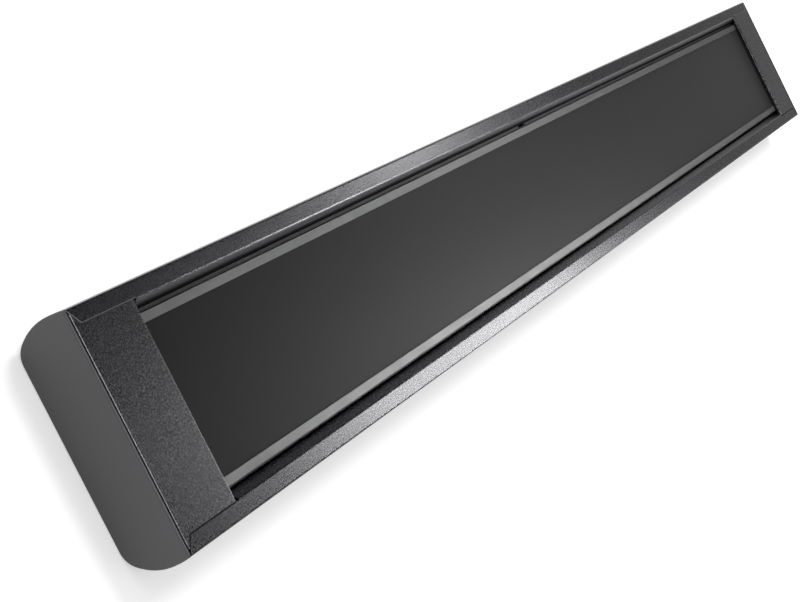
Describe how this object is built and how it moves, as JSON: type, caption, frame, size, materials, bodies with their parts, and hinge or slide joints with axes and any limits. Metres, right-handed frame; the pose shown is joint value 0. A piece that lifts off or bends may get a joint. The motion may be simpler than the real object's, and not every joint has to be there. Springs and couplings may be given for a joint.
{
  "type": "infrared patio heater",
  "caption": "Long flat-panel radiant patio heater: folded casing with bulged sides, recessed black radiant panel, light edge rails, end covers and sliding rear fixing nuts.",
  "frame": {"origin": "on the flat back plane of the casing, midway between the two fixing nuts and on the centre line of the slot", "axes": "+X along the heater towards the end with the cable gland, +Y across it, +Z out of the back towards the radiant face"},
  "size_m": [1.6848, 0.187, 0.053],
  "materials": {
    "casing_coat": "black powder coat, satin, fine texture",
    "end_plate_coat": "dark grey powder coat, smooth matt",
    "cover_coat": "black powder coat, fine speckled texture",
    "panel_black": "black radiant coating, smooth satin",
    "rail_aluminium": "grey anodised, satin",
    "tray_steel": "heat-tinted aluminised steel, dull",
    "zinc_steel": "zinc plated, dull",
    "element_sheath": "drawn tube, oxidised",
    "terminal_steel": "nickel plated",
    "terminal_brass": "machined",
    "white_ceramic": "glazed steatite",
    "spacer_ceramic": "pressed mineral board, matt",
    "insulation_fibre": "mineral fibre board, matt",
    "seal_rubber": "matt",
    "gland_plastic": "moulded, satin",
    "cutout_phenolic": "moulded phenolic",
    "lead_sleeving": "glass braid",
    "black_screws": "black oxide"
  },
  "bodies": {
    "heater": {"casing": "casing_coat", "mounting_channel": "zinc_steel", "end_plate_left": "end_plate_coat", "end_plate_right": "end_plate_coat", "end_seal_left": "seal_rubber", "end_seal_right": "seal_rubber", "end_cover_left": "cover_coat", "end_cover_right": "cover_coat", "radiant_panel": "panel_black", "edge_rail_upper": "rail_aluminium", "edge_rail_lower": "rail_aluminium", "inner_tray": "tray_steel", "tray_spacers": "spacer_ceramic", "insulation_board": "insulation_fibre", "element_upper": "element_sheath", "element_lower": "element_sheath", "element_pins": "terminal_steel", "ceramic_beads": "white_ceramic", "pin_nuts": "terminal_steel", "live_link": "terminal_steel", "panel_studs": "zinc_steel", "standoff_sleeves": "zinc_steel", "panel_stud_nuts": "zinc_steel", "bulkhead": "tray_steel", "terminal_block": "white_ceramic", "terminal_screws": "terminal_brass", "thermal_cutout": "cutout_phenolic", "earth_stud": "terminal_brass", "lead_eyes": "terminal_steel", "internal_leads": "lead_sleeving", "gland_body": "gland_plastic", "gland_nut": "gland_plastic", "gland_seal": "seal_rubber", "gland_locknut": "gland_plastic", "end_plate_screws": "black_screws"},
    "left_nut": {"fixing_nut_left": "zinc_steel"},
    "right_nut": {"fixing_nut_right": "zinc_steel"}
  },
  "joints": [
    {"name": "left_nut_slide", "type": "slide", "parent": "heater", "child": "left_nut", "axis": [1, 0, 0], "range_m": [-0.185, 0.485]},
    {"name": "right_nut_slide", "type": "slide", "parent": "heater", "child": "right_nut", "axis": [1, 0, 0], "range_m": [-0.485, 0.185]}
  ]
}
